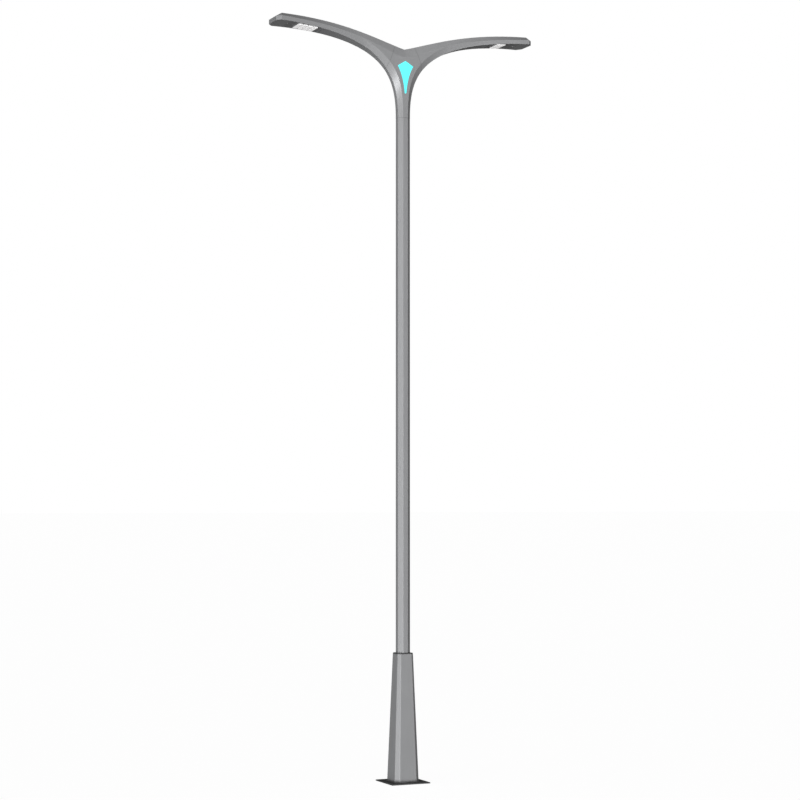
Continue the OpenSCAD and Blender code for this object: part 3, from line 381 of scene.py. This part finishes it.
zinc = galvanised_steel("galvanised", (0.5, 0.52, 0.54))
stainless = worked_metal("stainless", (0.55, 0.55, 0.56), (0.42, 0.41, 0.4), 0.3, (1, 1, 8))
for node in ("pole_seat", "pole_foot"):
    finished(node, zinc, radius=0.0008)
finished("pole_bolts", stainless, radius=0.0006)


# ---- Pole ---------------------------------------------------------------------------
# One length of 4 mm steel folded to eight sides and welded along its back.
# The folds have an 8 mm radius, and the coat is the column's.

finished("pole", grey_paint, radius=0.0034, angle=20, segments=4, longer_than=long_fold)


# ---- Service door -------------------------------------------------------------------
# A 4 mm door on two lift-off hinges, with a stiffening frame and a seal behind its opening
# and a quarter-turn lock worked with a triangular key.

def moulded(name, colour, roughness, speck=0.1, depth=0.0001):
    """Moulded plastic or rubber with a fine texture from its mould."""
    mat, tree, shader = new_material(name, Metallic=0.0)
    grain = use(tree, grain_group, Scale=700.0)
    edge = use(tree, edge_group, Width=0.0008, Amount=0.25)
    toned = blend_colour(tree, grain["Tone"], shade(colour, 0.9), shade(colour, 1.08))
    specks = calc(tree, "MULTIPLY", ramp(tree, grain["Grain"], 0.55, 0.75), speck)
    specked = blend_colour(tree, specks, toned, shade(colour, 1.6, 0.02))
    tree.links.new(blend_colour(tree, edge["Mask"], specked, shade(colour, 1.4, 0.03)),
                   shader.inputs["Base Color"])
    tree.links.new(calc(tree, "MULTIPLY_ADD", grain["Tone"], 0.16, roughness - 0.08, clamp=True),
                   shader.inputs["Roughness"])
    bump(tree, shader, grain["Grain"], depth)
    return mat


seal_rubber = moulded("seal_rubber", (0.02, 0.02, 0.021), 0.75, speck=0.2, depth=0.0002)
finished("door_frame", zinc, radius=0.0008)
finished("door_seal", seal_rubber, radius=0.0002)
finished("door", grey_paint, radius=0.0009)
finished("hinge_leaves", grey_paint, radius=0.0006)
finished("hinge_pins", stainless, radius=0.0007)
finished("lock_body", stainless, radius=0.0009)
finished("lock_cam", zinc, radius=0.0005)


# ---- Equipment in the column --------------------------------------------------------
# A sealed plywood board on four spacers carries the fused cut-out: a dark base, a grey
# cover and an ivory fuse carrier that pulls out.

def plywood(name, pale, deep):
    """Birch face veneer, its long grain upright, under a clear seal."""
    mat, tree, shader = new_material(name, Metallic=0.0, Coat_Weight=0.25, Coat_Roughness=0.3)
    place = own_place(tree)
    along = stretched(tree, place, (1.0, 1.0, 0.06))
    wander = add(tree, "ShaderNodeTexNoise",
                 {"Vector": along, "Scale": 22.0, "Detail": 6.0, "Distortion": 1.2})
    pores = add(tree, "ShaderNodeTexNoise", {"Vector": along, "Scale": 900.0, "Detail": 2.0})
    figure = ramp(tree, wander.outputs["Fac"], 0.35, 0.65)
    toned = blend_colour(tree, figure, deep, pale)
    dark_pores = calc(tree, "MULTIPLY", ramp(tree, pores.outputs["Fac"], 0.58, 0.72), 0.5)
    tree.links.new(blend_colour(tree, dark_pores, toned, shade(deep, 0.5)),
                   shader.inputs["Base Color"])
    tree.links.new(calc(tree, "MULTIPLY_ADD", figure, -0.1, 0.5), shader.inputs["Roughness"])
    bump(tree, shader, pores.outputs["Fac"], 0.0001)
    return mat


backboard = plywood("backboard", (0.5, 0.33, 0.17), (0.34, 0.2, 0.09))
dark_plastic = moulded("dark_plastic", (0.06, 0.06, 0.065), 0.5)
grey_plastic = moulded("grey_plastic", (0.4, 0.4, 0.41), 0.42)
fuse_plastic = moulded("fuse_plastic", (0.75, 0.73, 0.66), 0.28)
finished("board_spacers", zinc, radius=0.0004)
finished("equipment_board", backboard, radius=0.0005)
finished("cutout_base", dark_plastic, radius=0.002, segments=3)
finished("cutout_cover", grey_plastic, radius=0.002, segments=3)
finished("fuse_carrier", fuse_plastic, radius=0.0015, segments=3)


# ---- Cables -------------------------------------------------------------------------
# Round sheathed cable, from the cut-out up the pole to the junction box in the crown and
# on to each driver. The sheath is extruded, so its fine lines run along it.

cable_sheath = moulded("cable_sheath", (0.03, 0.03, 0.032), 0.5, speck=0.15, depth=0.00015)
for node in ("riser_cable", "arm_cable_left", "arm_cable_right"):
    finished(node, cable_sheath, radius=0, angle=80)


# ---- Crown --------------------------------------------------------------------------
# Cast and ground aluminium with the pole's coat. Its edges are crisp, the bevels flow into
# the arms, and a spigot with four socket set screws holds it on the pole.

mill_aluminium = worked_metal("mill_aluminium", (0.62, 0.63, 0.64), (0.5, 0.5, 0.5), 0.36, (1, 1, 0.1))
finished("crown", grey_paint, radius=0.0012, angle=11, segments=4, sharp=11,
         joints=(outwards, inwards, (0, 0, -1)))
finished("crown_spigot", mill_aluminium, radius=0.0008)
finished("crown_screws", stainless, radius=0.0003)
finished("junction_box", dark_plastic, radius=0.002, segments=3)


# ---- Lit panels ---------------------------------------------------------------------
# A kite-shaped diffuser in each face, lit from an LED board behind it. It glows an even
# cyan, a little stronger over the LEDs, and is pressed on its gasket by a screwed frame.

lens, tree, shader = new_material("cyan_lens", Metallic=0.0, Roughness=0.35, IOR=1.49,
                                  Emission_Strength=0.86)
grain = use(tree, grain_group, Scale=260.0)
place = own_place(tree)
cells = add(tree, "ShaderNodeTexVoronoi", {"Vector": place, "Scale": 24.0, "Randomness": 0.0})
spots = ramp(tree, cells.outputs["Distance"], 0.75, 0.1)
glow = calc(tree, "MULTIPLY_ADD", spots, 0.25, calc(tree, "MULTIPLY", grain["Tone"], 0.2), clamp=True)
tree.links.new(blend_colour(tree, glow, (0.150, 0.96, 0.98), (0.20, 1.0, 1.0)),
               shader.inputs["Emission Color"])
tree.links.new(blend_colour(tree, grain["Tone"], (0.02, 0.30, 0.32), (0.03, 0.36, 0.38)),
               shader.inputs["Base Color"])
bump(tree, shader, grain["Grain"], 0.00004)
circuit_board = moulded("circuit_board", (0.8, 0.8, 0.78), 0.4, speck=0.3)
finished("kite_lens_front", lens, radius=0.0006)
finished("kite_lens_back", lens, radius=0.0006)
finished("kite_seals", seal_rubber, radius=0.0002)
finished("kite_frames", zinc, radius=0.0006)
finished("kite_boards", circuit_board, radius=0.0002)
finished("kite_screws", stainless, radius=0.0003)


# ---- Arms ---------------------------------------------------------------------------
# Pressed and welded aluminium shells that start as the crown's section and flatten into
# the heads. Sleeves inside the joints are clamped by set screws at the back.

for side in ("left", "right"):
    finished("arm_" + side, grey_paint, radius=0.0012, angle=11, segments=4, sharp=11,
             joints=(-outwards, -inwards))
    finished("arm_sleeve_" + side, mill_aluminium, radius=0.0005)
    finished("driver_" + side, mill_aluminium, radius=0.003, segments=3)
finished("sleeve_screws", stainless, radius=0.0003)


# ---- Head trays ---------------------------------------------------------------------
# Each head is closed below by a coated tray on a pin hinge, pressed on a rubber seal by a
# quarter-turn stud. The tray carries a finned heat sink.

under_paint = powder_coat("under_paint", (0.215, 0.215, 0.218), dust=0.0)
for side in ("left", "right"):
    finished("tray_frame_" + side, zinc, radius=0.0006)
    finished("tray_hinge_" + side, zinc, radius=0.0004)
    finished("tray_seal_" + side, seal_rubber, radius=0.0002)
    finished("tray_" + side, under_paint, radius=0.0008)
    finished("tray_pin_" + side, stainless, radius=0.0004)
    finished("latch_" + side, stainless, radius=0.0005)
    finished("heat_sink_" + side, mill_aluminium, radius=0.0004)


# ---- LED blocks ---------------------------------------------------------------------
# White moulded lens covers over aluminium-backed LED boards, 54.5 mm apart along the arm.
# Each cover has rows of low lenses, and its edge is rounded.

lamp_lens, tree, shader = new_material("lamp_lens", Metallic=0.0, IOR=1.49, Coat_Weight=0.15,
                                       Coat_Roughness=0.2, Emission_Strength=0.42)
grain = use(tree, grain_group, Scale=320.0)
tree.links.new(blend_colour(tree, grain["Tone"], (0.74, 0.74, 0.74), (0.84, 0.84, 0.83)),
               shader.inputs["Base Color"])
tree.links.new(blend_colour(tree, grain["Tone"], (0.92, 0.9, 0.9), (1.0, 0.98, 0.98)),
               shader.inputs["Emission Color"])
tree.links.new(calc(tree, "MULTIPLY_ADD", grain["Grain"], 0.1, 0.22), shader.inputs["Roughness"])
bump(tree, shader, grain["Grain"], 0.00005)


lens_rows, lenses_in_row = 3, 12
row_pitch, lens_pitch = 0.0138, 0.0145
low_lens_r, low_lens_sink = 0.0055, 0.0003
block_face_area = 0.006


def lens_cover(node):
    """The CAD blocks with rounded edges and three rows of low lenses on each."""
    bm = cad_copy(node)
    below = [f for f in bm.faces if f.normal.z < -0.9 and f.calc_area() > block_face_area]
    places = [(f.calc_center_median(), f.normal.copy()) for f in below]
    edges = [e for e in bm.edges if e.is_convex and e.calc_face_angle(0.0) > 0.6]
    bevel(bm, edges, 0.0012, 3)
    for middle, normal in places:
        along = Vector((0, 1, 0)).cross(normal).normalized()
        for i in range(lens_rows):
            for k in range(lenses_in_row):
                dome = bmesh.ops.create_uvsphere(bm, u_segments=12, v_segments=6,
                                                 radius=low_lens_r)["verts"]
                bmesh.ops.scale(bm, verts=dome, vec=(1.0, 1.15, 0.2))
                aside = along * (i - (lens_rows - 1) / 2) * row_pitch
                down_row = Vector((0, (k - (lenses_in_row - 1) / 2) * lens_pitch, 0))
                bmesh.ops.translate(bm, verts=dome,
                                    vec=middle + aside + down_row - normal * low_lens_sink)
    stand_for(bm, node, lamp_lens)


for side in ("left", "right"):
    finished("led_boards_" + side, circuit_board, radius=0.0002)
    lens_cover("led_blocks_" + side)


# ---- Floor, light and camera --------------------------------------------------------
# A pale floor, a broad light from the front, a smaller one from the left that draws the
# highlight on the crown's bevel, a faint one further left, and an even grey surround.

bm = bmesh.new()
floor_size, floor_drop = 400.0, 0.0005
bmesh.ops.create_grid(bm, x_segments=1, y_segments=1, size=floor_size)
bmesh.ops.translate(bm, verts=bm.verts, vec=(0, 0, -floor_drop))
mesh = bpy.data.meshes.new("floor")
bm.to_mesh(mesh)
bm.free()
floor = bpy.data.objects.new("floor", mesh)
bpy.context.scene.collection.objects.link(floor)
floor_mat, tree, shader = new_material("pale_floor", Roughness=0.9, Specular_IOR_Level=0.1)
shader.inputs["Base Color"].default_value = (0.5, 0.5, 0.5, 1.0)
shader.inputs["Emission Color"].default_value = (1.0, 1.0, 1.0, 1.0)
shader.inputs["Emission Strength"].default_value = 0.92
mesh.materials.append(floor_mat)
floor.visible_diffuse = False
floor.visible_shadow = False
floor.visible_glossy = False

world = bpy.data.worlds.new("studio")
bpy.context.scene.world = world
world.use_nodes = True
tree = world.node_tree
seen = tree.nodes["Background"]
seen.inputs[0].default_value = (1.0, 1.0, 1.0, 1.0)
lit = add(tree, "ShaderNodeBackground", {"Color": (1.0, 1.0, 1.0, 1.0), "Strength": 0.12})
ray = add(tree, "ShaderNodeLightPath")
both = add(tree, "ShaderNodeMixShader",
           {0: ray.outputs["Is Camera Ray"], 1: lit.outputs[0], 2: seen.outputs[0]})
tree.links.new(both.outputs[0], tree.nodes["World Output"].inputs["Surface"])


def far_light(name, strength, width, colour, towards):
    """A light so far off that it reaches the whole height alike, from the direction towards."""
    data = bpy.data.lights.new(name, "SUN")
    data.energy, data.angle, data.color = strength, math.radians(width), colour
    light = bpy.data.objects.new(name, data)
    light.location = (0, 0, 4)
    light.rotation_euler = Vector(towards).to_track_quat("Z", "Y").to_euler()
    bpy.context.scene.collection.objects.link(light)


far_light("front_light", 1.5, 30, (1.0, 1.0, 1.0), (-0.22, -0.965, -0.16))
far_light("left_light", 1.9, 13, (0.96, 0.98, 1.0), (-0.72, -0.68, -0.16))
far_light("rim_light", 0.3, 24, (1.0, 1.0, 1.0), (-0.9, -0.4, 0.02))

camera_data = bpy.data.cameras.new("camera")
camera_data.lens = 93.21
camera_data.clip_end = 900.0
camera = bpy.data.objects.new("camera", camera_data)
camera.location = (-8.897, -19.845, 2.946)
camera.rotation_euler = (math.radians(92.735), 0.0, math.radians(-24.069))
bpy.context.scene.collection.objects.link(camera)
bpy.context.scene.camera = camera
bpy.context.scene.view_settings.view_transform = "Standard"
